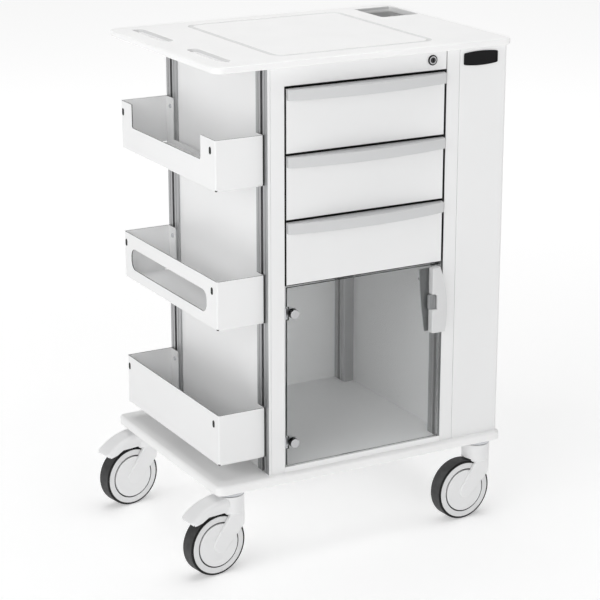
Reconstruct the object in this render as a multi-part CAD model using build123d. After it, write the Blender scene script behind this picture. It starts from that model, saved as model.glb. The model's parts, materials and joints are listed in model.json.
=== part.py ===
from build123d import *
import os

# Medication cart. X points to the user's right, Y to the back and Z up; millimetres.
# Everything is laid out about the centre of the base on the floor. At the end the whole
# cart is moved so that the origin is under the middle of its overall plan envelope.

# Driving dimensions
TOP_WIDTH, TOP_DEPTH, TOP_THICKNESS = 646, 476, 12.7
TOP_SURFACE = 993
TOP_CORNER = 20
BASE_WIDTH, BASE_DEPTH, BASE_THICKNESS = 648, 466, 19
BASE_BOTTOM = 165
BASE_CORNER = 15
SHEET = 1.5

CABINET_LEFT, CABINET_RIGHT = -207.5, 209
CABINET_FRONT, CABINET_BACK = -222, 211.5
HOUSING_LEFT, HOUSING_RIGHT = 209.5, 321
OPENING_LEFT, OPENING_RIGHT = -173.3, 180.7

POST_WIDTH, POST_DEPTH = 28, 47
SLOT_MOUTH, SLOT_LIP = 9, 2.5
SLOT_CAVITY, SLOT_CAVITY_DEPTH = 16, 6

DRAWER_COUNT = 3
DRAWER_PITCH = 127
DRAWERS_TOP = 940.5
FRONT_GAP = 5
FRONT_THICKNESS = 2.5
PULL_HEIGHT = 21
PULL_END_REACH, PULL_MIDDLE_REACH = 8, 26

DOOR_BOTTOM = 197
DOOR_THICKNESS = 5

BIN_FRONT, BIN_BACK = -206, 210
BIN_REACH = 100.5
BIN_FLOORS = {"upper": 756, "middle": 488, "lower": 217}
BIN_HEIGHTS = {"upper": 97, "middle": 96, "lower": 102}
BIN_SHEET, BIN_FLANGE, BIN_BEND = 2, 32, 3

WHEEL_RADIUS = 62.5
TYRE_WIDTH = 32
CASTER_TRAIL = 38
CASTER_X, CASTER_Y = 283, 200
CASTER_TURNS = {"front_left": 8, "rear_left": 10, "front_right": 3.5, "rear_right": 6}
BRAKED = ("front_left", "rear_left")

# Sizes worked out from them
TOP_UNDERSIDE = TOP_SURFACE - TOP_THICKNESS
BASE_TOP = BASE_BOTTOM + BASE_THICKNESS
CABINET_Z = (BASE_TOP, TOP_UNDERSIDE)
SKIN_BACK = CABINET_FRONT + SHEET
POST_X = {"left": CABINET_LEFT + POST_WIDTH / 2, "right": CABINET_RIGHT - POST_WIDTH / 2}
POST_Y = {"front": SKIN_BACK + POST_DEPTH / 2, "rear": CABINET_BACK - POST_DEPTH / 2}
INSIDE_X = (POST_X["left"] + POST_WIDTH / 2, POST_X["right"] - POST_WIDTH / 2)
BETWEEN_POSTS_Y = (POST_Y["front"] + POST_DEPTH / 2, POST_Y["rear"] - POST_DEPTH / 2)
INSIDE_MIDDLE = sum(INSIDE_X) / 2
DRAWERS_BOTTOM = DRAWERS_TOP - DRAWER_COUNT * DRAWER_PITCH
FRONT_X = (OPENING_LEFT + FRONT_GAP, OPENING_RIGHT - FRONT_GAP)
DOOR_Z = (DOOR_BOTTOM, DRAWERS_BOTTOM - FRONT_GAP / 2)

# Side and back sheets stand a little inside the faces of the posts
LEFT_PANEL_X = (CABINET_LEFT + 3.5, CABINET_LEFT + 3.5 + SHEET)
DIVIDER_X = (CABINET_RIGHT - 3.5 - SHEET, CABINET_RIGHT - 3.5)
BACK_PANEL_Y = (CABINET_BACK - 5.5, CABINET_BACK - 5.5 + SHEET)

# Worktop features
GROOVE = {"x": (-168, 173), "y": (-184, 194), "corner": 22, "round": 12, "depth": 1.6}
HANDLE_SLOT_X, HANDLE_SLOT_WIDTH = -274.5, 22
HANDLE_SLOTS_Y = ((-190, -42), (50, 203))
WELL_X, WELL_Y, WELL_DEPTH = (225, 314), (92, 206), 200

# Lock, badge and latch
LOCK_X, LOCK_Z = 147, 963
BADGE_X, BADGE_Z = (218, 295), (944, 972)
LATCH_X, LATCH_Z = (149, 180), (420, 555)
LATCH_FRONT = CABINET_FRONT - 14
LATCH_NOTCH_RIGHT, LATCH_NOTCH_Z = 161, (469, 500)
LEVER_TIP_X = 142.5
LEVER_PIVOT = (156.8, CABINET_FRONT - 6.5)
LEVER_THICKNESS = 7

# Door hinges
HINGE_PIVOT = (FRONT_X[0] - 2.2, CABINET_FRONT + DOOR_THICKNESS / 2)
HINGE_HEIGHTS = (245, 506)
HINGE_KNOB_X, HINGE_KNOB_RADIUS, HINGE_KNOB_DEPTH = -156.5, 9.5, 11
KNUCKLE_RADIUS, HINGE_PIN_RADIUS = 2.4, 1.1
KNUCKLE_HALF = 8
RUNNING = 0.05

# Casters, in their own frame: the stem axis is at zero and the wheel trails along +X
HEAD_RADIUS, HEAD_BOTTOM = 28.5, 158
CROWN = (120, 157)
KINGPIN_RADIUS, KINGPIN_BOTTOM = 6, 137
LEG_INSIDE, LEG_OUTSIDE = 17, 24.5
WHEEL_CLEARANCE = WHEEL_RADIUS + 3.5
CAP_RADIUS, CAP_INSIDE, CAP_OUTSIDE = 43.5, 13.5, 17.8
AXLE_RADIUS, AXLE_HALF = 6, 15.3
DISC_RADIUS, DISC_HALF, WEB_HALF = 58, 16.2, 12
RIM_INSIDE = CAP_RADIUS + 2
CHANNEL_RADIUS, CHANNEL_HALF = 54, 12.5
PEDAL_PIVOT = (36, 143)
PEDAL_HALF, PEDAL_WALL, HOOD_HALF = 24, 2.6, 21
ARCH_CENTRE, PEDAL_ARCH, HOOD_ARCH = (17.75, 29.9), 126, 118.5


def block(x, y, z):
    """A box between the (low, high) pairs of its three directions."""
    centre = [(low + high) / 2 for low, high in (x, y, z)]
    return Pos(*centre) * Box(*[high - low for low, high in (x, y, z)])


def rod(radius, start, end):
    """A round bar from one point to another, along one of the axes."""
    line = Vector(*end) - Vector(*start)
    return extrude(Plane(origin=start, z_dir=line) * Circle(radius), line.length)


def prism(outline, y):
    """An outline drawn in X and Z, made solid between two Y values."""
    return extrude(Plane.XZ.offset(-y[1]) * outline, y[1] - y[0])


def end_face(solid, axis, end=-1):
    """The solid's last face along an axis, or its first with end=0."""
    return solid.faces().sort_by(axis)[end]


def board(width, depth, thickness, corner, bottom):
    """A flat board with round corners, lying on the given height."""
    return Pos(0, 0, bottom) * extrude(RectangleRounded(width, depth, corner), thickness)


def worktop():
    """White plastic worktop with hand slots in its left overhang, a spill groove and a well."""
    slab = board(TOP_WIDTH, TOP_DEPTH, TOP_THICKNESS, TOP_CORNER, TOP_UNDERSIDE)
    slab = fillet(end_face(slab, Axis.Z).edges() + end_face(slab, Axis.Z, 0).edges(), 3)
    for low, high in HANDLE_SLOTS_Y:
        slot = SlotOverall(high - low, HANDLE_SLOT_WIDTH, rotation=90)
        slab -= Pos(HANDLE_SLOT_X, (low + high) / 2, TOP_UNDERSIDE) * extrude(slot, TOP_THICKNESS)
    well = block(WELL_X, WELL_Y, CABINET_Z)
    well = Pos(0, 0, TOP_THICKNESS) * fillet(well.edges().filter_by(Axis.Z), 6)
    slab -= well
    rims = ShapeList()
    for end in (0, -1):
        for wire in end_face(slab, Axis.Z, end).inner_wires():
            rims += wire.edges()
    slab = fillet(rims, 2)
    return slab - spill_groove()


def spill_groove():
    """A shallow round-bottomed channel around the working area."""
    width, depth = [high - low for low, high in (GROOVE["x"], GROOVE["y"])]
    path = RectangleRounded(width, depth, GROOVE["corner"]).wire()
    ring = sweep(Plane(origin=path @ 0, z_dir=path % 0) * Circle(GROOVE["round"]), path)
    height = TOP_SURFACE - GROOVE["depth"] + GROOVE["round"]
    return Pos(sum(GROOVE["x"]) / 2, sum(GROOVE["y"]) / 2, height) * ring


def base_plate():
    slab = board(BASE_WIDTH, BASE_DEPTH, BASE_THICKNESS, BASE_CORNER, BASE_BOTTOM)
    slab = fillet(end_face(slab, Axis.Z).edges(), 6)
    return fillet(end_face(slab, Axis.Z, 0).edges(), 3)


def post_section():
    """Aluminium section with a T-slot and two fine lines on both X faces, and two chambers."""
    section = fillet(Rectangle(POST_WIDTH, POST_DEPTH).vertices(), 1)
    for side in (-1, 1):
        face = side * POST_WIDTH / 2
        section -= Pos(face - side * SLOT_LIP / 2, 0) * Rectangle(SLOT_LIP, SLOT_MOUTH)
        cavity_centre = face - side * (SLOT_LIP + SLOT_CAVITY_DEPTH / 2)
        section -= Pos(cavity_centre, 0) * Rectangle(SLOT_CAVITY_DEPTH, SLOT_CAVITY)
        section -= Pos(0, side * 16) * Rectangle(POST_WIDTH - 10, 7)
        for line in (-13, 13):
            section -= Pos(face, line) * Rectangle(1.6, 1.6)
    return section


def posts():
    """The four posts; the two on the left are drilled for the bin screws."""
    bar = extrude(post_section(), CABINET_Z[1] - CABINET_Z[0])
    group = Part()
    for x in POST_X.values():
        for y in POST_Y.values():
            group += Pos(x, y, BASE_TOP) * bar
    for y, z in bin_screw_places():
        group -= rod(2.52, (CABINET_LEFT, y, z), (CABINET_LEFT + 7.5, y, z))
    return group


def around_posts(plate, gap=0.3):
    """Cuts the corners of a plate back from the four posts."""
    for x in POST_X.values():
        for y in POST_Y.values():
            reach_x, reach_y = POST_WIDTH / 2 + gap, POST_DEPTH / 2 + gap
            plate -= block((x - reach_x, x + reach_x), (y - reach_y, y + reach_y), CABINET_Z)
    return plate


def side_panels():
    """The sheet on the cabinet's left side and the one between the drawers and the housing."""
    return block(LEFT_PANEL_X, BETWEEN_POSTS_Y, CABINET_Z) + block(DIVIDER_X, BETWEEN_POSTS_Y, CABINET_Z)


def back_panel():
    return block(INSIDE_X, BACK_PANEL_Y, CABINET_Z)


def right_housing():
    """Three-sided sheet cover on the right: front, side and back, with short return flanges."""
    width, depth = HOUSING_RIGHT - HOUSING_LEFT, CABINET_BACK - CABINET_FRONT
    outline = Rectangle(width, depth)
    outline = fillet(outline.vertices().group_by(Axis.X)[-1], 10)
    outline = fillet(outline.vertices().group_by(Axis.X)[0], 2)
    wall = outline - offset(outline, -SHEET)
    wall -= Pos(-width / 2, 0) * Rectangle(4 * SHEET, depth - 40)
    place = Pos((HOUSING_LEFT + HOUSING_RIGHT) / 2, (CABINET_FRONT + CABINET_BACK) / 2, BASE_TOP)
    return place * extrude(wall, CABINET_Z[1] - CABINET_Z[0])


def top_fascia():
    """Fixed panel above the drawers, with a lower return flange and the lock's hole."""
    x = (OPENING_LEFT, OPENING_RIGHT - 2)
    bottom = DRAWERS_TOP + FRONT_GAP / 2
    panel = block(x, (CABINET_FRONT, SKIN_BACK), (bottom, TOP_UNDERSIDE))
    panel += block(x, (CABINET_FRONT, CABINET_FRONT + 16), (bottom, bottom + SHEET))
    panel = fillet(panel.edges().filter_by(Axis.X).sort_by(Axis.Z)[0:2].sort_by(Axis.Y)[0], 1)
    return panel - rod(8.1, (LOCK_X, CABINET_FRONT, LOCK_Z), (LOCK_X, CABINET_FRONT + 20, LOCK_Z))


def front_stiles():
    """The corner strip and the two upright strips that cover the fronts of the front posts."""
    strips = ((CABINET_LEFT, -202.8), (-202.2, OPENING_LEFT), (OPENING_RIGHT, 208.4))
    stiles = Part()
    for strip in strips:
        stiles += block(strip, (CABINET_FRONT, SKIN_BACK), CABINET_Z)
    return stiles


def floor_pan():
    """Cupboard floor, raised on turned-down edges, with a lip along the door."""
    top = 190
    side = (LEFT_PANEL_X[1], DIVIDER_X[0])
    plate = block(side, (SKIN_BACK, BACK_PANEL_Y[0]), (top - SHEET, top))
    plate += block(side, (BACK_PANEL_Y[0] - SHEET, BACK_PANEL_Y[0]), (BASE_TOP, top))
    plate = around_posts(plate)
    lip_x = (OPENING_LEFT + 0.3, OPENING_RIGHT - 0.3)
    return plate + block(lip_x, (CABINET_FRONT, SKIN_BACK), (BASE_TOP, DOOR_BOTTOM - 2.5))


def drawer_deck():
    """Sheet shelf between the drawers and the cupboard, with a turned-down back edge."""
    top = DOOR_Z[1] + 2
    side = (LEFT_PANEL_X[1], DIVIDER_X[0])
    plate = block(side, (CABINET_FRONT + 20, BACK_PANEL_Y[0]), (top - SHEET, top))
    plate += block(side, (BACK_PANEL_Y[0] - SHEET, BACK_PANEL_Y[0]), (top - 12, top))
    return around_posts(plate)


def well_liner():
    """Open-topped pocket that hangs under the well in the worktop."""
    gap = 1.5
    x, y = [(low - gap, high + gap) for low, high in (WELL_X, WELL_Y)]
    pocket = block(x, y, (TOP_UNDERSIDE - WELL_DEPTH, TOP_UNDERSIDE))
    pocket = fillet(pocket.edges().filter_by(Axis.Z), 6)
    return offset(pocket, -1.2, openings=end_face(pocket, Axis.Z))


def lock_body():
    """Round lock case with a turned front flange, bored for the plug."""
    flange = rod(10, (LOCK_X, CABINET_FRONT - 2.5, LOCK_Z), (LOCK_X, CABINET_FRONT, LOCK_Z))
    flange = fillet(end_face(flange, Axis.Y, 0).edges(), 1.2)
    case = flange + rod(8, (LOCK_X, CABINET_FRONT, LOCK_Z), (LOCK_X, CABINET_FRONT + 26, LOCK_Z))
    return case - rod(5.55, (LOCK_X, CABINET_FRONT - 3, LOCK_Z), (LOCK_X, CABINET_FRONT + 27, LOCK_Z))


def lock_plug():
    """The turning plug with its keyway, and the cam on its far end."""
    front, back = CABINET_FRONT - 2.9, CABINET_FRONT + 26.3
    plug = rod(5.5, (LOCK_X, front, LOCK_Z), (LOCK_X, back, LOCK_Z))
    plug -= block((LOCK_X - 0.8, LOCK_X + 0.8), (front, front + 6), (LOCK_Z - 3.4, LOCK_Z + 3.4))
    cam = prism(Pos(LOCK_X, LOCK_Z + 5) * SlotOverall(22, 10, rotation=90), (back, back + 2))
    return plug + cam


def badge():
    """Plain barrel-shaped plate with a raised rim and nothing on it."""
    (left, right), (low, high) = BADGE_X, BADGE_Z
    middle = (left + right) / 2
    ends = (low + 3, high - 3)
    outline = Polyline((left, ends[1]), (left, ends[0]))
    outline += ThreePointArc((left, ends[0]), (middle, low), (right, ends[0]))
    outline += Line((right, ends[0]), (right, ends[1]))
    outline += ThreePointArc((right, ends[1]), (middle, high), (left, ends[1]))
    face = make_face(outline)
    face = fillet(face.vertices(), 3)
    rim = prism(face, (CABINET_FRONT - 2, CABINET_FRONT))
    return rim - prism(offset(face, -1.6), (CABINET_FRONT - 2, CABINET_FRONT - 1.4))


def bin_screw_places():
    """(y, z) of the screw in each end flange of each side bin."""
    heights = [BIN_FLOORS[name] + BIN_HEIGHTS[name] - 18 for name in BIN_FLOORS]
    return [(y, z) for z in heights for y in (BIN_FRONT + 10, BIN_BACK - 20.5)]


def bin_plug_places(name):
    """(y, z) of the slots near the upper corners of a bin's long front."""
    height = BIN_FLOORS[name] + BIN_HEIGHTS[name] - 22
    return [(BIN_FRONT + 21, height), (BIN_BACK - 9, height)]


def upright_slot(x, y, z, length, width):
    """A bar with round ends, standing on end and reaching along X."""
    return Pos(x[0], y, z) * extrude(Plane.YZ * SlotOverall(length, width, rotation=90), x[1] - x[0])


def side_bin(name):
    """Folded sheet bin: three walls and a floor, with flanges that lie on the left posts."""
    outer, back = CABINET_LEFT - BIN_REACH, CABINET_LEFT
    floor, top = BIN_FLOORS[name], BIN_FLOORS[name] + BIN_HEIGHTS[name]
    length, relief = (BIN_FRONT, BIN_BACK), BIN_BEND + 0.5
    tray = block((outer, back), length, (floor, top))
    corners = tray.edges().filter_by(Axis.Z).group_by(Axis.X)[0]
    tray = fillet(corners + end_face(tray, Axis.Z, 0).edges().sort_by(Axis.X)[0:-1], BIN_BEND)
    hollow = block((outer + BIN_SHEET, back - BIN_SHEET), (length[0] + BIN_SHEET, length[1] - BIN_SHEET),
                   (floor + BIN_SHEET, top + 1))
    inner_corners = hollow.edges().filter_by(Axis.Z).group_by(Axis.X)[0]
    inner_bottom = end_face(hollow, Axis.Z, 0).edges().sort_by(Axis.X)[0:-1]
    tray -= fillet(inner_corners + inner_bottom, BIN_BEND - BIN_SHEET)
    window = (length[0] + BIN_FLANGE, length[1] - BIN_FLANGE)
    tray -= block((back - 2 * BIN_SHEET, back + 1), window, (floor + 12, top + 1))
    at_back = [e for e in tray.edges().filter_by(Axis.X) if e.center().X > back - BIN_SHEET]
    flange_tops = [e for e in at_back
                   if e.center().Z > top - 1 and window[0] - 1 < e.center().Y < window[1] + 1]
    tray = fillet(flange_tops, 7)
    for y in ((length[0], length[0] + relief), (length[1] - relief, length[1])):
        tray -= block((outer, outer + relief), y, (floor, floor + relief))
        tray -= block((back - 12, back - 2.5), y, (floor, floor + relief))
    for y, z in bin_plug_places(name):
        tray -= upright_slot((outer - 1, outer + BIN_SHEET + 1), y, z, 13, 7)
    for y, z in bin_screw_places():
        tray -= rod(2.7, (back - BIN_SHEET, y, z), (back, y, z))
    return tray - bin_cut_out(name, outer, floor, top)


def bin_cut_out(name, outer, floor, top):
    """What is cut from a bin's long front: a deep notch, a long window or nothing."""
    wall = (outer - 1, outer + BIN_SHEET + 1)
    if name == "upper":
        notch = block(wall, (-145, 160), (floor + 50, top + 1))
        return fillet(notch.edges().filter_by(Axis.X).group_by(Axis.Z)[0], 5)
    if name == "middle":
        opening = block(wall, (-162, 178), (floor + 24, top - 28))
        return fillet(opening.edges().filter_by(Axis.X), 18)
    return []


def bin_fixings():
    """Pan-head screws that hold the bins to the posts, and a rubber plug in each slot."""
    face = CABINET_LEFT - BIN_SHEET
    fixings = Part()
    for y, z in bin_screw_places():
        head = rod(4.5, (face - 2.6, y, z), (face, y, z))
        head = fillet(end_face(head, Axis.X, 0).edges(), 1.4)
        head -= rod(1.6, (face - 3, y, z), (face - 1.2, y, z))
        fixings += head + rod(2.5, (face, y, z), (CABINET_LEFT + 7, y, z))
    outer = CABINET_LEFT - BIN_REACH
    for name in BIN_FLOORS:
        for y, z in bin_plug_places(name):
            plug = upright_slot((outer - 0.4, outer), y, z, 14.4, 8.4)
            fixings += plug + upright_slot((outer, outer + BIN_SHEET), y, z, 12.9, 6.9)
    return fixings


def drawer_bottom(number):
    """Height of a drawer's lower boundary; number 0 is the top drawer."""
    return DRAWERS_TOP - (number + 1) * DRAWER_PITCH


def front_heights(number):
    low = drawer_bottom(number) + FRONT_GAP / 2
    return (low, low + DRAWER_PITCH - FRONT_GAP)


def drawer_front(number):
    back = CABINET_FRONT + FRONT_THICKNESS
    panel = block(FRONT_X, (CABINET_FRONT, back), front_heights(number))
    return fillet(end_face(panel, Axis.Y, 0).edges(), 1)


def drawer_box_x():
    side_gap = 16
    return (INSIDE_X[0] + side_gap, INSIDE_X[1] - side_gap)


def drawer_box(number):
    """Open-topped sheet box behind a drawer's front."""
    low = drawer_bottom(number) + 10
    tray = block(drawer_box_x(), (CABINET_FRONT + FRONT_THICKNESS, 185), (low, low + 92))
    return offset(tray, -1.2, openings=end_face(tray, Axis.Z))


def drawer_seal(number):
    """Black rubber frame on the back of a drawer's front, seen in the gaps around it."""
    low, high = front_heights(number)
    width, height = FRONT_X[1] - FRONT_X[0] + 4, high - low + 4
    frame = Rectangle(width, height) - Rectangle(width - 12, height - 12)
    back = CABINET_FRONT + FRONT_THICKNESS
    return prism(Pos(sum(FRONT_X) / 2, (low + high) / 2) * frame, (back, back + 6))


def drawer_pull(number):
    """Bowed full-width pull: a shell with a top and a front lip, open underneath for the fingers."""
    top = front_heights(number)[1]
    left, right = FRONT_X
    shoulder, nose = CABINET_FRONT - PULL_END_REACH, CABINET_FRONT - PULL_MIDDLE_REACH
    outline = Polyline((left, shoulder), (left, CABINET_FRONT), (right, CABINET_FRONT), (right, shoulder))
    outline += ThreePointArc((right, shoulder), ((left + right) / 2, nose), (left, shoulder))
    plan = make_face(outline)
    plan = fillet(plan.vertices().group_by(Axis.Y)[-2], 3)
    shell = Pos(0, 0, top - PULL_HEIGHT) * extrude(plan, PULL_HEIGHT)
    upper_rim = end_face(shell, Axis.Z).edges().sort_by(Axis.Y)[0:-1]
    shell = fillet(upper_rim, 2)
    return shell - Pos(0, 0, top - PULL_HEIGHT) * extrude(offset(plan, -2.5), PULL_HEIGHT - 2.5)


def rail_height(number):
    return drawer_bottom(number) + 56


def rail(x, y, middle, height, opens):
    """A channel rail with its web on the side away from where it opens."""
    thick = 1.3
    bar = block(x, y, (middle - height / 2, middle + height / 2))
    cut = (x[0] + thick, x[1]) if opens > 0 else (x[0], x[1] - thick)
    return bar - block(cut, y, (middle - height / 2 + thick, middle + height / 2 - thick))


def both_sides(left_rail):
    """A left rail and its mirror image on the right of the drawers."""
    return left_rail + left_rail.mirror(Plane(origin=(INSIDE_MIDDLE, 0, 0), z_dir=(1, 0, 0)))


def slide_outer_rails():
    """The fixed channel rails, screwed to the posts, for all the drawers."""
    rails = Part()
    for number in range(DRAWER_COUNT):
        x = (INSIDE_X[0], INSIDE_X[0] + 11)
        rails += both_sides(rail(x, (-205, 190), rail_height(number), 36, +1))
    return rails


def inner_rails(number):
    """The two rails that ride with a drawer, inside the fixed ones and clear of the stiles."""
    x = (OPENING_LEFT + 0.8, drawer_box_x()[0])
    return both_sides(rail(x, (-212, 183), rail_height(number), 30, -1))


def door_panel():
    """Clear plastic door, notched for its hinge knuckles and drilled for its fixings."""
    panel = block(FRONT_X, (CABINET_FRONT, CABINET_FRONT + DOOR_THICKNESS), DOOR_Z)
    panel = fillet(panel.edges().filter_by(Axis.Y), 2)
    panel = chamfer(end_face(panel, Axis.Y, 0).edges() + end_face(panel, Axis.Y).edges(), 0.5)
    for z in HINGE_HEIGHTS:
        notch_z = (z - KNUCKLE_HALF - 5, z + KNUCKLE_HALF + 5)
        panel -= block((FRONT_X[0] - 1, FRONT_X[0] + 4), (CABINET_FRONT - 1, CABINET_FRONT + 6), notch_z)
        panel -= through_door(3.02, HINGE_KNOB_X, z)
    for x, z in latch_screw_places():
        panel -= through_door(2.02, x, z)
    return panel


def through_door(radius, x, z):
    return rod(radius, (x, CABINET_FRONT - 1, z), (x, CABINET_FRONT + DOOR_THICKNESS + 5, z))


def latch_screw_places():
    return [(LATCH_X[0] + 10, z) for z in (LATCH_Z[0] + 22, LATCH_Z[1] - 22)]


def door_knobs():
    """Round polished caps on the outside of the door, with studs that hold the hinge leaves."""
    knobs = Part()
    for z in HINGE_HEIGHTS:
        face = CABINET_FRONT - HINGE_KNOB_DEPTH
        cap = rod(HINGE_KNOB_RADIUS, (HINGE_KNOB_X, face, z), (HINGE_KNOB_X, CABINET_FRONT, z))
        cap = fillet(end_face(cap, Axis.Y, 0).edges(), 1.2)
        stud_end = CABINET_FRONT + DOOR_THICKNESS + 2
        knobs += cap + rod(3, (HINGE_KNOB_X, CABINET_FRONT, z), (HINGE_KNOB_X, stud_end, z))
    return knobs


def hinge_leaves():
    """Leaves behind the door, each with a knuckle that turns on a fixed pin."""
    x, y = HINGE_PIVOT
    back = CABINET_FRONT + DOOR_THICKNESS
    leaves = Part()
    for z in HINGE_HEIGHTS:
        span = (z - KNUCKLE_HALF, z + KNUCKLE_HALF)
        leaf = block((x, HINGE_KNOB_X + 8), (back, back + 2), (z - 8, z + 8))
        leaf -= block((x - 5, FRONT_X[0] + 4), (back - 1, back + 3), (z - 20, span[0]))
        leaf -= block((x - 5, FRONT_X[0] + 4), (back - 1, back + 3), (span[1], z + 20))
        leaf += block((x, FRONT_X[0] + 3.7), (y, back + 2), span)
        leaf += rod(KNUCKLE_RADIUS, (x, y, span[0]), (x, y, span[1]))
        leaf -= rod(HINGE_PIN_RADIUS + RUNNING, (x, y, span[0]), (x, y, span[1]))
        leaves += leaf - through_door(3.02, HINGE_KNOB_X, z)
    return leaves


def hinge_brackets():
    """Fixed brackets on the left post, each with two ears and a pin between them."""
    x, y = HINGE_PIVOT
    wall = INSIDE_X[0]
    brackets = Part()
    for z in HINGE_HEIGHTS:
        reach = KNUCKLE_HALF + 3.3
        bracket = block((wall, wall + 2.5), (y + 0.2, y + 18), (z - reach - 6, z + reach + 6))
        for low, high in ((z - reach, z - KNUCKLE_HALF - 0.3), (z + KNUCKLE_HALF + 0.3, z + reach)):
            bracket += block((wall, x), (y + 0.2, y + 6), (low, high))
            bracket += rod(KNUCKLE_RADIUS, (x, y, low), (x, y, high))
        brackets += bracket + rod(HINGE_PIN_RADIUS, (x, y, z - reach), (x, y, z + reach))
    return brackets


def latch_housing():
    """White latch case on the door's free edge, bowed on its right, with a notch for the lever."""
    (left, right), (low, high) = LATCH_X, LATCH_Z
    outline = Polyline((left + 17, high), (left, high - 1.5), (left, low), (right, low))
    outline += ThreePointArc((right, low), (right + 0.9, (low + high) / 2 + 15), (left + 17, high))
    face = fillet(make_face(outline).vertices().sort_by(Axis.X)[0:2], 3)
    notch_height = LATCH_NOTCH_Z[1] - LATCH_NOTCH_Z[0]
    notch = Pos(LATCH_NOTCH_RIGHT - 15, sum(LATCH_NOTCH_Z) / 2) * Rectangle(30, notch_height)
    notch = fillet(notch.vertices().sort_by(Axis.X)[2:].sort_by(Axis.Y)[-1], 8)
    case = prism(face - notch, (LATCH_FRONT, CABINET_FRONT))
    case = fillet(end_face(case, Axis.Y, 0).outer_wire().edges(), 2)
    case -= block((OPENING_RIGHT - 1, right + 5), (CABINET_FRONT - 0.4, CABINET_FRONT), LATCH_Z)
    bottom, top = LATCH_NOTCH_Z
    case -= rod(1.55, (*LEVER_PIVOT, bottom - 4), (*LEVER_PIVOT, top + 4))
    for x, z in latch_screw_places():
        case -= rod(2.02, (x, CABINET_FRONT - 8, z), (x, CABINET_FRONT, z))
    return case


def latch_lever():
    """Grey finger lever in the notch, turning on its own two stub pins."""
    x, y = LEVER_PIVOT
    low, high = LATCH_NOTCH_Z[0] + 0.6, LATCH_NOTCH_Z[1] - 0.6
    half = LEVER_THICKNESS / 2
    right = x + half
    face = Pos((LEVER_TIP_X + right) / 2, (low + high) / 2) * Rectangle(right - LEVER_TIP_X, high - low)
    face = fillet(face.vertices().sort_by(Axis.X)[2:].sort_by(Axis.Y)[-1], 13)
    face = fillet(face.vertices().sort_by(Axis.X)[0:2], 3)
    paddle = block((LEVER_TIP_X, x), (y - half, y + half), (low, high))
    paddle = fillet(paddle.edges().filter_by(Axis.Z).group_by(Axis.X)[0], 2.5)
    paddle += rod(half, (x, y, low), (x, y, high))
    paddle &= prism(face, (y - half, y + half))
    paddle -= block((LEVER_TIP_X + 4, x - 3), (y - half, y - half + 0.9), (low + 4, high - 4))
    return paddle + rod(1.5, (x, y, low - 3.5), (x, y, high + 3.5))


def latch_backplate():
    """Pale plate behind the clear door, with the two screws and the small catch it carries."""
    back = CABINET_FRONT + DOOR_THICKNESS
    left, (low, high) = LATCH_X[0], LATCH_Z
    outline = Polyline((left - 7, low + 2), (left + 16, low + 2),
                       (left + 16, high - 4), (left - 21, high - 4))
    outline += ThreePointArc((left - 21, high - 4), (left - 16, high - 70), (left - 7, low + 2))
    plate = prism(make_face(outline), (back, back + 2.5))
    for x, z in latch_screw_places():
        plate += rod(2, (x, CABINET_FRONT - 7, z), (x, back, z))
        plate += rod(4, (x, back + 2, z), (x, back + 4.5, z))
    return plate + rod(4.5, (left - 13, back + 2, high - 26), (left - 13, back + 9, high - 26))


def at_caster(name, shape):
    """Moves a shape from the caster's own frame to its corner of the base."""
    row, side = name.split("_")
    x = -CASTER_X if side == "left" else CASTER_X
    y = -CASTER_Y if row == "front" else CASTER_Y
    return Pos(x, y, 0) * Rot(0, 0, 180 + CASTER_TURNS[name]) * shape


def caster_heads():
    """The fixed upper rings and kingpins under the base."""
    heads = Part()
    for name in CASTER_TURNS:
        ring = rod(HEAD_RADIUS, (0, 0, HEAD_BOTTOM), (0, 0, BASE_BOTTOM - 1.5))
        ring = fillet(end_face(ring, Axis.Z, 0).edges(), 1)
        ring += rod(HEAD_RADIUS - 2.5, (0, 0, BASE_BOTTOM - 1.5), (0, 0, BASE_BOTTOM))
        heads += at_caster(name, ring + rod(KINGPIN_RADIUS, (0, 0, KINGPIN_BOTTOM), (0, 0, HEAD_BOTTOM)))
    return heads


def leg_taper():
    """Side limits of the legs: full width at the crown, thinning to the caps at the hub."""
    half = [(LEG_OUTSIDE, 200), (LEG_OUTSIDE, 116), (CAP_OUTSIDE, 44), (CAP_OUTSIDE, 0)]
    outline = Polyline(*half, *[(-y, z) for y, z in reversed(half)], close=True)
    return Pos(-60, 0, 0) * extrude(Plane.YZ * make_face(outline), 160)


def fork_legs():
    hub = Pos(CASTER_TRAIL - 5, WHEEL_RADIUS) * Circle(17)
    shoulder = Pos(-14, 122) * Rectangle(2 * (HEAD_RADIUS - 14), 36)
    legs = prism(make_hull(hub.edges() + shoulder.edges()), (-LEG_OUTSIDE, LEG_OUTSIDE))
    legs &= leg_taper()
    inner = legs & block((-60, 100), (-LEG_INSIDE, LEG_INSIDE), (0, 200))
    sides = [f for f in legs.faces() if abs(f.normal_at().Y) > 0.9]
    rims = [e for f in sides for e in f.edges() if abs(e.center().Z - 116) > 0.5]
    legs = fillet(rims, 2.2) + inner
    return legs & (rod(HEAD_RADIUS, (0, 0, 0), (0, 0, 200)) + block((0, 80), (-30, 30), (0, 200)))


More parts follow.
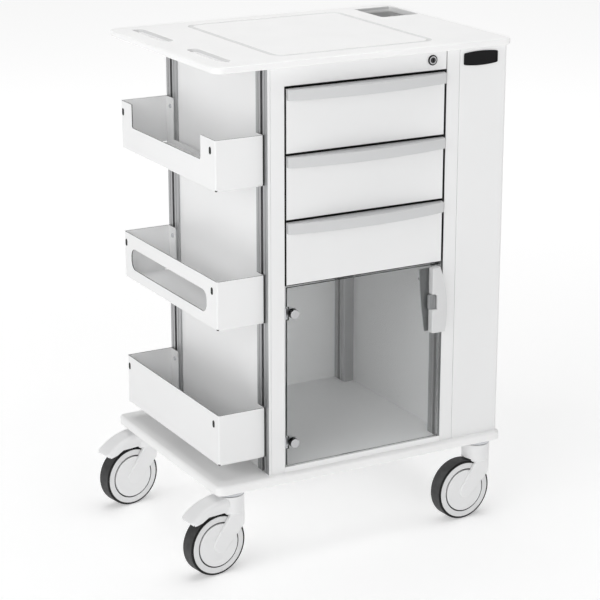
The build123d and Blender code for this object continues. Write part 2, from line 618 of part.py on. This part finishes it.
def caster_fork(name):
    """Crown and two legs that run out into round caps over the wheel, with a hood if braked."""
    crown = rod(HEAD_RADIUS, (0, 0, CROWN[0]), (0, 0, CROWN[1]))
    crown = chamfer(end_face(crown, Axis.Z, 0).edges(), 3.9)
    crown = fillet(end_face(crown, Axis.Z).edges(), 1)
    fork = crown + fork_legs()
    if name in BRAKED:
        fork += brake_hood()
    fork -= rod(WHEEL_CLEARANCE, (CASTER_TRAIL, -LEG_INSIDE, WHEEL_RADIUS),
                (CASTER_TRAIL, LEG_INSIDE, WHEEL_RADIUS))
    for side in (-1, 1):
        cap = rod(CAP_RADIUS, (CASTER_TRAIL, side * CAP_INSIDE, WHEEL_RADIUS),
                  (CASTER_TRAIL, side * CAP_OUTSIDE, WHEEL_RADIUS))
        outer_face = -1 if side > 0 else 0
        fork += fillet(end_face(cap, Axis.Y, outer_face).edges(), 0.8)
    fork -= rod(AXLE_RADIUS + RUNNING, *axle_ends(AXLE_HALF))
    fork -= rod(KINGPIN_RADIUS + RUNNING, (0, 0, KINGPIN_BOTTOM - 1), (0, 0, CROWN[1] + 1))
    return at_caster(name, fork)


def arch(radius, half, corner):
    """A fat disc about the arch centre, rounded where its rim meets its sides."""
    section = Pos(radius / 2, 0) * Rectangle(radius, 2 * half)
    section = fillet(section.vertices().group_by(Axis.X)[-1], corner)
    x, z = ARCH_CENTRE
    return Pos(x, 0, z) * revolve(Plane.XY * section, Axis.Y)


def brake_hood():
    """Cover over the top of the wheel, under the pedal."""
    outline = Polyline((13, 150), (40, 148), (66, 134), (66, 127.5), (13, 127.5), close=True)
    hood = prism(make_face(outline), (-HOOD_HALF, HOOD_HALF)) & arch(HOOD_ARCH, HOOD_HALF, 6.5)
    x, z = PEDAL_PIVOT
    return hood - rod(2.05, (x, -HOOD_HALF, z), (x, HOOD_HALF, z))


def axle_ends(half):
    return (CASTER_TRAIL, -half, WHEEL_RADIUS), (CASTER_TRAIL, half, WHEEL_RADIUS)


def caster_axle(name):
    return at_caster(name, rod(AXLE_RADIUS, *axle_ends(AXLE_HALF)))


def turned(outline, name):
    """A section drawn as (radius, distance along the axle), turned about the axle."""
    spun = revolve(Plane.XY * outline, Axis.Y)
    return at_caster(name, Pos(CASTER_TRAIL, 0, WHEEL_RADIUS) * spun)


def caster_wheel(name):
    """Plastic wheel: a web with a hub, and a wide rim around the fork's caps."""
    bore, hub = AXLE_RADIUS + RUNNING, 14
    section = Pos((bore + DISC_RADIUS) / 2, 0) * Rectangle(DISC_RADIUS - bore, 2 * WEB_HALF)
    section += Pos((bore + hub) / 2, 0) * Rectangle(hub - bore, 2 * (CAP_INSIDE - 0.3))
    rim = Pos((RIM_INSIDE + DISC_RADIUS) / 2, 0) * Rectangle(DISC_RADIUS - RIM_INSIDE, 2 * DISC_HALF)
    section += fillet(rim.vertices(), 1.2)
    section -= Pos(DISC_RADIUS, 0) * Rectangle(2 * (DISC_RADIUS - CHANNEL_RADIUS), 2 * CHANNEL_HALF)
    return turned(section, name)


def caster_tyre(name):
    """Tyre that fills the wheel's channel and overlaps the rim edges."""
    inside, lip = CHANNEL_RADIUS + 0.1, DISC_RADIUS + 0.1
    tread = Pos((lip + WHEEL_RADIUS) / 2, 0) * Rectangle(WHEEL_RADIUS - lip, TYRE_WIDTH)
    tread = fillet(tread.vertices().group_by(Axis.X)[-1], 3.5)
    return turned(tread + Pos((inside + lip) / 2, 0) * Rectangle(lip - inside, 2 * CHANNEL_HALF - 0.2), name)


def brake_pedal(name):
    """Arched hollow foot pedal over the hood, turning on a cross pin."""
    outline = Polyline((10, 139), (10, 175), (102, 175), (101, 121), (96, 117), (80, 121), (66, 128.5),
                       (46, 136.5), close=True)
    plan = Pos(26, 0) * RectangleRounded(150, 2 * PEDAL_HALF, 13)
    shell = arch(PEDAL_ARCH, PEDAL_HALF, 9)
    hollow = arch(PEDAL_ARCH - PEDAL_WALL, PEDAL_HALF - PEDAL_WALL, 6.5)
    shell -= hollow & block((-100, 97), (-30, 30), (0, 200))
    shell &= prism(make_face(outline), (-PEDAL_HALF, PEDAL_HALF))
    shell &= Pos(0, 0, 100) * extrude(plan, 80)
    shell -= rod(HEAD_RADIUS + 0.7, (0, 0, 100), (0, 0, 200))
    x, z = PEDAL_PIVOT
    return at_caster(name, shell + rod(2, (x, -PEDAL_HALF + 1, z), (x, PEDAL_HALF - 1, z)))


def cart():
    """Every node of the cart by name, about the centre of the base."""
    nodes = {
        "worktop": worktop(),
        "base_plate": base_plate(),
        "posts": posts(),
        "side_panels": side_panels(),
        "back_panel": back_panel(),
        "right_housing": right_housing(),
        "top_fascia": top_fascia(),
        "front_stiles": front_stiles(),
        "floor_pan": floor_pan(),
        "drawer_deck": drawer_deck(),
        "slide_outer_rails": slide_outer_rails(),
        "well_liner": well_liner(),
        "lock_body": lock_body(),
        "lock_plug": lock_plug(),
        "badge": badge(),
        "bin_fixings": bin_fixings(),
        "hinge_brackets": hinge_brackets(),
        "door_panel": door_panel(),
        "door_knobs": door_knobs(),
        "hinge_leaves": hinge_leaves(),
        "latch_housing": latch_housing(),
        "latch_lever": latch_lever(),
        "latch_backplate": latch_backplate(),
        "caster_heads": caster_heads(),
    }
    for name in BIN_FLOORS:
        nodes[f"{name}_bin"] = side_bin(name)
    for number, name in enumerate(("upper", "middle", "lower")):
        nodes[f"{name}_drawer_front"] = drawer_front(number)
        nodes[f"{name}_drawer_box"] = drawer_box(number)
        nodes[f"{name}_drawer_seal"] = drawer_seal(number)
        nodes[f"{name}_drawer_pull"] = drawer_pull(number)
        nodes[f"{name}_drawer_rails"] = inner_rails(number)
    for name in CASTER_TURNS:
        nodes[f"{name}_fork"] = caster_fork(name)
        nodes[f"{name}_axle"] = caster_axle(name)
        nodes[f"{name}_wheel"] = caster_wheel(name)
        nodes[f"{name}_tyre"] = caster_tyre(name)
    for name in BRAKED:
        nodes[f"{name}_pedal"] = brake_pedal(name)
    return nodes


def envelope_middle(nodes):
    """Plan centre of the box around the whole cart."""
    boxes = [shape.bounding_box() for shape in nodes.values()]
    x = min(b.min.X for b in boxes) + max(b.max.X for b in boxes)
    y = min(b.min.Y for b in boxes) + max(b.max.Y for b in boxes)
    return x / 2, y / 2


NODES = cart()
MIDDLE_X, MIDDLE_Y = envelope_middle(NODES)

os.makedirs("parts", exist_ok=True)
for node, shape in NODES.items():
    export_step(Pos(-MIDDLE_X, -MIDDLE_Y, 0) * shape, f"parts/{node}.step")
print(f"{len(NODES)} nodes, moved by {-MIDDLE_X:.3f}, {-MIDDLE_Y:.3f}")
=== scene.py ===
import json
import math

import bpy
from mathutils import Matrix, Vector

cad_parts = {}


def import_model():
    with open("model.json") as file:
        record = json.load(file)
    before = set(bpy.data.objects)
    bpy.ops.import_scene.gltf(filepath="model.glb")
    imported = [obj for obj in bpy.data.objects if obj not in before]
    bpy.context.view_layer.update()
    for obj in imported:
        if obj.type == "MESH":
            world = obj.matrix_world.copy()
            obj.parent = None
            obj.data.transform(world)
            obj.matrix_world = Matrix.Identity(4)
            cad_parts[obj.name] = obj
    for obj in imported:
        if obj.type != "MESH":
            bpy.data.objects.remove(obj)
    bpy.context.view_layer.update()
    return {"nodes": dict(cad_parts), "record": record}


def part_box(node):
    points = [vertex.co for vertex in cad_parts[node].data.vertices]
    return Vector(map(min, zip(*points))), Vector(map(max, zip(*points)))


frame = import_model()

MM = 0.001
BINS = ("upper_bin", "middle_bin", "lower_bin")
BIN_SHEET, BIN_CORNER = 2 * MM, 3.6 * MM
# Width of the painted shadow strip at each bin's front right, where no gap is modelled
GAP_SHADOW_WIDTH = 2.6 * MM
WHEEL_RING = 46.3 * MM
LOCK_RIM_SHARE = 0.76
BEYOND = 1  # metres: further out than any piece
# Painted shade colours: deep shadow, the bins' cut edges and the grey of their top rims
DEEP_SHADOW, EDGE_SHADE, RIM_SHADE_GREY = (0.02, 0.02, 0.02), (0.03, 0.03, 0.032), (0.22, 0.22, 0.225)
CATCH_BLACK, PLUG_BLACK, PLUG_DARK = (0.03, 0.03, 0.03), (0.004, 0.004, 0.004), (0.05, 0.05, 0.052)

# The camera looks at the object from the front left, a little above it
VIEW_AZIMUTH, VIEW_ELEVATION, VIEW_DISTANCE = -28.9, 17.3, 4.1755
VIEW_FOCAL = 123.46
AIM_SIDEWAYS, AIM_HEIGHT = -0.0155, 0.4478
FLOOR_GLOW_NEAR, FLOOR_GLOW_FAR = 0.36, 0.72


# Node helpers

class Shader:
    """A material's node tree with a Principled shader and short calls for the nodes it needs."""

    def __init__(self, name, colour, roughness, **values):
        self.material = bpy.data.materials.new(name)
        self.material.use_nodes = True
        self.tree = self.material.node_tree
        self.surface = self.tree.nodes["Principled BSDF"]
        self.surface.inputs["Base Color"].default_value = (*colour, 1)
        self.surface.inputs["Roughness"].default_value = roughness
        for socket, value in values.items():
            self.surface.inputs[socket.replace("_", " ")].default_value = value
        coordinates = self.node("ShaderNodeTexCoord")
        self.place, self.facing = coordinates.outputs["Object"], coordinates.outputs["Normal"]

    def node(self, kind, **settings):
        made = self.tree.nodes.new(kind)
        for name, value in settings.items():
            setattr(made, name, value)
        return made

    def link(self, source, target):
        self.tree.links.new(source, target)

    def stretched(self, scale):
        """The object's own coordinates, scaled along each axis."""
        mapping = self.node("ShaderNodeMapping")
        mapping.inputs["Scale"].default_value = scale
        self.link(self.place, mapping.inputs["Vector"])
        return mapping.outputs["Vector"]

    def noise(self, scale, detail=2, where=None, roughness=0.5):
        made = self.node("ShaderNodeTexNoise")
        made.inputs["Scale"].default_value = scale
        made.inputs["Detail"].default_value = detail
        made.inputs["Roughness"].default_value = roughness
        self.link(where or self.place, made.inputs["Vector"])
        return made.outputs["Fac"]

    def remap(self, value, low, high, start=0.3, end=0.7):
        """A value from start to end, mapped to low to high."""
        made = self.node("ShaderNodeMapRange")
        for socket, number in zip(("From Min", "From Max", "To Min", "To Max"), (start, end, low, high)):
            made.inputs[socket].default_value = number
        self.link(value, made.inputs["Value"])
        return made.outputs["Result"]

    def mix(self, share, first, second):
        """Two colours mixed by a share; each is a colour or a node's output."""
        made = self.node("ShaderNodeMix", data_type="RGBA")
        self.link(share, made.inputs["Factor"])
        colours = [s for s in made.inputs if s.type == "RGBA"]
        for socket, colour in zip(colours, (first, second)):
            if isinstance(colour, tuple):
                socket.default_value = (*colour, 1)
            else:
                self.link(colour, socket)
        return [s for s in made.outputs if s.type == "RGBA"][0]

    def math(self, operation, first, second=0):
        """One value out of two, such as their product, or a comparison that gives 1 or 0."""
        made = self.node("ShaderNodeMath", operation=operation)
        for socket, value in zip(made.inputs, (first, second)):
            if isinstance(value, (int, float)):
                socket.default_value = value
            else:
                self.link(value, socket)
        return made.outputs["Value"]

    def vector_math(self, operation, first, second=None):
        made = self.node("ShaderNodeVectorMath", operation=operation)
        self.link(first, made.inputs[0])
        if second is not None:
            made.inputs[1].default_value = second
        return made.outputs["Value"] if operation == "LENGTH" else made.outputs["Vector"]

    def axes(self, source):
        """The X, Y and Z values of a vector."""
        made = self.node("ShaderNodeSeparateXYZ")
        self.link(source, made.inputs["Vector"])
        return list(made.outputs)

    def inside(self, low, high):
        """1 between two corners of a box in the object's own coordinates, and 0 outside."""
        share = None
        for value, start, end in zip(self.axes(self.place), low, high):
            above = self.math("GREATER_THAN", value, start)
            below = self.math("LESS_THAN", value, end)
            both = self.math("MULTIPLY", above, below)
            share = both if share is None else self.math("MULTIPLY", share, both)
        return share

    def darken(self, share, colour):
        """Paints a colour over the present one where the share is 1."""
        base = self.surface.inputs["Base Color"]
        present = base.links[0].from_socket if base.links else tuple(base.default_value[:3])
        self.colour(self.mix(share, present, colour))

    def colour(self, source):
        self.link(source, self.surface.inputs["Base Color"])

    def rough(self, source):
        self.link(source, self.surface.inputs["Roughness"])

    def bump(self, *layers):
        """Bumps one on another, each a height, its strength and its distance in metres."""
        normal = None
        for height, strength, distance in layers:
            made = self.node("ShaderNodeBump")
            made.inputs["Strength"].default_value = strength
            made.inputs["Distance"].default_value = distance
            self.link(height, made.inputs["Height"])
            if normal:
                self.link(normal, made.inputs["Normal"])
            normal = made.outputs["Normal"]
        self.link(normal, self.surface.inputs["Normal"])


def shade(colour, factor):
    return tuple(channel * factor for channel in colour)


# Materials

def moulded(name, colour, roughness, grain=900, depth=0.00006, spread=0.015, **values):
    """Moulded plastic: a fine stipple, a slightly uneven colour and an uneven gloss."""
    made = Shader(name, colour, roughness, **values)
    cloud = made.noise(7, 3)
    made.colour(made.mix(made.remap(cloud, 0, 1), shade(colour, 1 - spread), shade(colour, 1 + spread)))
    made.rough(made.remap(made.noise(45, 3), roughness - 0.05, roughness + 0.05))
    made.bump((made.noise(grain, 3), 0.35, depth))
    return made


def powder_coat(name, colour, roughness=0.42, spread=0.012, **values):
    """Powder coat: a fine orange peel with a broader, fainter waviness."""
    made = Shader(name, colour, roughness, **values)
    cloud = made.noise(5, 4)
    made.colour(made.mix(made.remap(cloud, 0, 1), shade(colour, 1 - spread), shade(colour, 1 + spread)))
    made.rough(made.remap(made.noise(260, 2), roughness - 0.04, roughness + 0.04))
    made.bump((made.noise(700, 2), 0.28, 0.00005), (made.noise(16, 2), 0.08, 0.0006))
    return made


def drawn_metal(name, colour, roughness, along):
    """Metal with fine lines along one axis."""
    made = Shader(name, colour, roughness, Metallic=1.0)
    scale = [1800, 1800, 1800]
    scale["XYZ".index(along)] = 9
    lines = made.noise(1, 3, made.stretched(scale))
    made.colour(made.mix(made.remap(lines, 0, 1), shade(colour, 0.93), shade(colour, 1.05)))
    made.rough(made.remap(lines, roughness - 0.07, roughness + 0.08))
    made.bump((lines, 0.12, 0.00004))
    return made


def polished_metal(name, colour, roughness):
    made = Shader(name, colour, roughness, Metallic=1.0)
    smear = made.noise(120, 3)
    made.colour(made.mix(made.remap(smear, 0, 1), shade(colour, 0.94), shade(colour, 1.04)))
    made.rough(made.remap(made.noise(900, 3), roughness - 0.03, roughness + 0.06))
    made.bump((made.noise(1500, 2), 0.05, 0.00002))
    return made


def rubber(name, colour, roughness, **values):
    made = Shader(name, colour, roughness, **values)
    dust = made.noise(60, 5)
    made.colour(made.mix(made.remap(dust, 0, 1, 0.4, 0.75), colour, shade(colour, 1.5)))
    made.rough(made.remap(made.noise(150, 3), roughness - 0.08, roughness + 0.06))
    made.bump((made.noise(1300, 3), 0.4, 0.00008), (made.noise(90, 2), 0.1, 0.0003))
    return made


def clear_acrylic(name, colour, roughness):
    """Clear sheet that lamps shine through, with a faint tint and faint handling marks."""
    made = Shader(name, colour, roughness, Transmission_Weight=1.0, IOR=1.49)
    marks = made.noise(30, 5)
    made.rough(made.remap(marks, 0.005, 0.035, 0.45, 0.75))
    made.bump((made.noise(8, 1), 0.03, 0.0006))
    clear = made.node("ShaderNodeBsdfTransparent")
    clear.inputs["Color"].default_value = (0.96, 0.97, 0.97, 1)
    mix = made.node("ShaderNodeMixShader")
    made.link(made.node("ShaderNodeLightPath").outputs["Is Shadow Ray"], mix.inputs["Fac"])
    made.link(made.surface.outputs["BSDF"], mix.inputs[1])
    made.link(clear.outputs["BSDF"], mix.inputs[2])
    made.link(mix.outputs["Shader"], made.tree.nodes["Material Output"].inputs["Surface"])
    return made


# What is special to one node: own colours, painted shade and painted light, on top of the plain material

def shaded_bin_rims(made, name):
    """Painted shade on a bin: near-black on its outer wall's cut edges, grey on its top rim, near-black in
    its open corners and a painted shadow strip at its front right.
    """
    low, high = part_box(name)
    wall_low = (low.x - BEYOND, low.y + BIN_SHEET, low.z + BIN_CORNER)
    outer_wall = made.inside(wall_low, (low.x + 0.95 * BIN_SHEET, high.y, 2))
    edge = made.math("LESS_THAN", made.math("ABSOLUTE", made.axes(made.facing)[0]), 0.45)
    # Painted shade on the outer wall's cut edges
    made.darken(made.math("MULTIPLY", outer_wall, edge), EDGE_SHADE)
    top_low = (low.x - BEYOND, low.y - BEYOND, high.z - 0.2 * MM)
    # Painted shade: grey on the top rim
    made.darken(made.inside(top_low, (high.x, high.y + BEYOND, high.z + BEYOND)), RIM_SHADE_GREY)
    # Painted shade in the open corners at both ends
    for start, end in ((low.y - BEYOND, low.y + BIN_CORNER), (high.y - BIN_CORNER, high.y + BEYOND)):
        corner_low = (low.x + 0.1 * MM, start, low.z + 0.1 * MM)
        corner = made.inside(corner_low, (low.x + BIN_CORNER, end, low.z + BIN_CORNER))
        x, y, z = made.axes(made.vector_math("ABSOLUTE", made.facing))
        flat = made.math("GREATER_THAN", made.math("MAXIMUM", made.math("MAXIMUM", x, y), z), 0.99)
        made.darken(made.math("MULTIPLY", corner, flat), DEEP_SHADOW)
    # Painted shadow strip at the front right, standing in for the shade of a gap that is not modelled
    strip_low = (high.x - GAP_SHADOW_WIDTH, low.y - BEYOND, low.z - BEYOND)
    made.darken(made.inside(strip_low, (high.x + BEYOND, low.y + 1 * MM, high.z + BEYOND)), DEEP_SHADOW)


def black_plugs(made, name):
    """The plugs among the bins' screws, painted near-black."""
    low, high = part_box(name)
    plugs_low = (low.x - BEYOND, low.y - BEYOND, low.z - BEYOND)
    made.darken(made.inside(plugs_low, (low.x + 10 * MM, high.y + BEYOND, high.z + BEYOND)), PLUG_BLACK)
    made.surface.inputs["Metallic"].default_value = 0.0
    made.surface.inputs["Specular IOR Level"].default_value = 0.1


def shaded_groove(made, name):
    """Painted shade: the plastic painted slightly greyer down in the spill groove and in the edges of the
    openings.
    """
    low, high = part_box(name)
    inset = 14 * MM
    groove_low = (low.x + inset, low.y + inset, high.z - 6 * MM)
    groove = made.inside(groove_low, (high.x - inset, high.y - inset, high.z - 0.2 * MM))
    made.darken(groove, (0.72, 0.72, 0.72))


def dark_rim(made, name):
    """A lock's turned body, bright inside a dark rim."""
    low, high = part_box(name)
    x, _, z = made.axes(made.vector_math("SUBTRACT", made.place, (low + high) / 2))
    squares = made.math("ADD", made.math("MULTIPLY", x, x), made.math("MULTIPLY", z, z))
    rim = made.math("GREATER_THAN", made.math("SQRT", squares), LOCK_RIM_SHARE * (high.x - low.x) / 2)
    made.darken(rim, CATCH_BLACK)


def dark_plug(made, name):
    """The lock's plug, dark all over, with the same smear as the polished metal around it."""
    smear = made.remap(made.noise(120, 3), 0, 1)
    made.colour(made.mix(smear, shade(PLUG_DARK, 0.94), shade(PLUG_DARK, 1.04)))


def shaded_sides(made, name):
    """Bright faces and sides painted near-black as shade."""
    facing = made.math("ABSOLUTE", made.axes(made.facing)[1])
    # Painted shade on the faces not turned towards the front or back
    made.darken(made.math("LESS_THAN", facing, 0.6), DEEP_SHADOW)


def dark_catch(made, name):
    """The catch and the screw heads behind the latch's plate."""
    low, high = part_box(name)
    plate_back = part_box("door_panel")[1].y + 2.6 * MM
    behind_low = (low.x - BEYOND, plate_back, low.z - BEYOND)
    made.darken(made.inside(behind_low, (high.x + BEYOND, BEYOND, high.z + BEYOND)), CATCH_BLACK)


def painted_light_lining(made, name):
    """Painted light: the sheets inside the cupboard are painted a little brighter than the outer ones,
    though they are the same paint.
    """
    made.colour(made.mix(made.remap(made.noise(5, 4), 0, 1), (0.945, 0.946, 0.947), (0.965, 0.966, 0.967)))


def axle_line(name):
    """A point on a caster's axle and its direction."""
    caster = name.rsplit("_", 1)[0]
    spin = [j for j in frame["record"]["behaviour"]["joints"] if j["name"] == f"{caster}_wheel_spin"][0]
    low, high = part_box(f"{caster}_tyre")
    return (low + high) / 2, spin["axis"]


def shaded_ring(made, name):
    """Painted shade in the gap inside a wheel's rim."""
    middle, axle = axle_line(name)
    off = made.vector_math("SUBTRACT", made.place, middle)
    radius = made.vector_math("LENGTH", made.vector_math("CROSS_PRODUCT", off, axle))
    made.darken(made.math("LESS_THAN", radius, WHEEL_RING), (0.02, 0.02, 0.022))


def shaded_sidewalls(made, name):
    """Painted shade: the sidewalls painted blacker than the tread."""
    axle = axle_line(name)[1]
    turned = made.vector_math("LENGTH", made.vector_math("CROSS_PRODUCT", made.facing, axle))
    made.darken(made.math("LESS_THAN", turned, 0.9), (0.006, 0.006, 0.006))


# Every look: how its material is made, and with what
LOOKS = {
    "white_board": (moulded, (0.93, 0.93, 0.928), 0.5, {"grain": 1400, "depth": 0.00005}),
    "white_paint": (powder_coat, (0.875, 0.877, 0.878), 0.42, {}),
    "tray_paint": (powder_coat, (0.6, 0.61, 0.62), 0.42, {}),
    "liner_white": (moulded, (0.55, 0.55, 0.55), 0.5, {}),
    "anodised": (drawn_metal, (0.44, 0.445, 0.45), 0.42, {"along": "Z"}),
    "zinc": (drawn_metal, (0.6, 0.61, 0.63), 0.32, {"along": "Y"}),
    "polished": (polished_metal, (0.5, 0.5, 0.51), 0.16, {}),
    "charcoal": (moulded, (0.008, 0.008, 0.009), 0.5, {"Specular_IOR_Level": 0.12}),
    "clear": (clear_acrylic, (0.985, 0.99, 0.99), 0.02, {}),
    "latch_white": (moulded, (0.7, 0.702, 0.705), 0.36, {}),
    "latch_grey": (moulded, (0.26, 0.265, 0.27), 0.42, {}),
    "latch_plate": (moulded, (0.5, 0.51, 0.515), 0.3, {}),
    "pull_grey": (moulded, (0.63, 0.635, 0.64), 0.45, {"grain": 1200}),
    "seal_rubber": (rubber, (0.006, 0.006, 0.006), 0.7, {"Specular_IOR_Level": 0.15}),
    "caster_white": (moulded, (0.86, 0.862, 0.865), 0.34, {}),
    "wheel_white": (moulded, (0.79, 0.792, 0.795), 0.36, {}),
    "tyre_grey": (rubber, (0.045, 0.045, 0.046), 0.6, {"Specular_IOR_Level": 0.3}),
}
EXTRAS = {"bin_fixings": black_plugs, "door_knobs": shaded_sides, "lock_body": dark_rim,
          "lock_plug": dark_plug, "latch_backplate": dark_catch, "worktop": shaded_groove,
          "floor_pan": painted_light_lining, "back_panel": painted_light_lining}
EXTRAS |= {name: shaded_bin_rims for name in BINS}
for part in frame["record"]["subparts"]:
    if part["node"].endswith("_wheel"):
        EXTRAS[part["node"]] = shaded_ring
    if part["node"].endswith("_tyre"):
        EXTRAS[part["node"]] = shaded_sidewalls
plain = {}


def material_for(name, look):
    """The node's material: shared by look, or one of its own if something is special to it."""
    make, colour, roughness, settings = LOOKS[look]
    if name not in EXTRAS:
        if look not in plain:
            plain[look] = make(look, colour, roughness, **settings)
        return plain[look].material
    made = make(f"{look}_{name}", colour, roughness, **settings)
    EXTRAS[name](made, name)
    return made.material


def finish_node(name, look):
    """Gives a CAD node its material and rounds its sharp edges a little."""
    node = frame["nodes"][name]
    node.data.materials.clear()
    node.data.materials.append(material_for(name, look))
    bevel = node.modifiers.new("edge", "BEVEL")
    bevel.width = 0.3 * MM
    bevel.segments = 2
    bevel.limit_method = "ANGLE"
    bevel.angle_limit = math.radians(40)


for part in frame["record"]["subparts"]:
    finish_node(part["node"], part["material_slot"])


# Stage, light and camera

def floor_paint():
    """Matt white paint with a glow that grows away from the object, so that all of it stays pale."""
    made = Shader("floor", (0.8, 0.8, 0.8), 1.0, Specular_IOR_Level=0.0, Emission_Color=(1, 1, 1, 1))
    glow = made.remap(made.vector_math("LENGTH", made.place), FLOOR_GLOW_NEAR, FLOOR_GLOW_FAR, 0.8, 3.5)
    made.link(glow, made.surface.inputs["Emission Strength"])
    return made.material


def floor():
    mesh = bpy.data.meshes.new("floor")
    half = 30
    corners = [(-half, -half, 0), (half, -half, 0), (half, half, 0), (-half, half, 0)]
    mesh.from_pydata(corners, [], [(0, 1, 2, 3)])
    stage = bpy.data.objects.new("floor", mesh)
    mesh.materials.append(floor_paint())
    bpy.context.collection.objects.link(stage)


def soft_light(name, place, size, power, aim=(0, 0, 0.5)):
    lamp = bpy.data.lights.new(name, "AREA")
    lamp.shape = "RECTANGLE"
    lamp.size, lamp.size_y = size
    lamp.energy = power
    holder = bpy.data.objects.new(name, lamp)
    holder.location = place
    holder.rotation_euler = (Vector(aim) - Vector(place)).to_track_quat("-Z", "Y").to_euler()
    bpy.context.collection.objects.link(holder)


def world(overhead, horizon):
    """A white sky, brighter towards the horizon so that the floor's far edge doesn't show."""
    sky = bpy.data.worlds.new("studio")
    sky.use_nodes = True
    nodes, link = sky.node_tree.nodes, sky.node_tree.links.new
    axes, fade = nodes.new("ShaderNodeSeparateXYZ"), nodes.new("ShaderNodeMapRange")
    for socket, number in zip(("From Min", "From Max", "To Min", "To Max"), (0.1, 0.3, horizon, overhead)):
        fade.inputs[socket].default_value = number
    link(nodes.new("ShaderNodeTexCoord").outputs["Generated"], axes.inputs["Vector"])
    link(axes.outputs["Z"], fade.inputs["Value"])
    link(fade.outputs["Result"], nodes["Background"].inputs["Strength"])
    nodes["Background"].inputs["Color"].default_value = (1, 1, 1, 1)
    bpy.context.scene.world = sky


def camera():
    azimuth, elevation = math.radians(VIEW_AZIMUTH), math.radians(VIEW_ELEVATION)
    low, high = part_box("base_plate")
    middle = (low + high) / 2
    sideways = Vector((math.cos(azimuth), math.sin(azimuth), 0))
    aim = Vector((middle.x, middle.y, AIM_HEIGHT)) + sideways * AIM_SIDEWAYS
    back = Vector((math.sin(azimuth) * math.cos(elevation), -math.cos(azimuth) * math.cos(elevation),
                   math.sin(elevation)))
    lens = bpy.data.cameras.new("camera")
    lens.lens = VIEW_FOCAL
    lens.sensor_width = 36
    eye = bpy.data.objects.new("camera", lens)
    eye.location = aim + back * VIEW_DISTANCE
    eye.rotation_euler = (-back).to_track_quat("-Z", "Y").to_euler()
    bpy.context.collection.objects.link(eye)
    bpy.context.scene.camera = eye


floor()
world(0.2, 0.85)
soft_light("left_panel_light", (-3.9, -1.7, 2.5), (4, 2), 66, (-0.3, 0, 0.5))
soft_light("front_panel_light", (0, -4.6, 1.5), (3, 2), 22, (0, 0, 0.4))
soft_light("top_panel_light", (0.2, 0.2, 3.6), (3, 3), 68)
camera()
bpy.context.scene.view_settings.view_transform = "Standard"
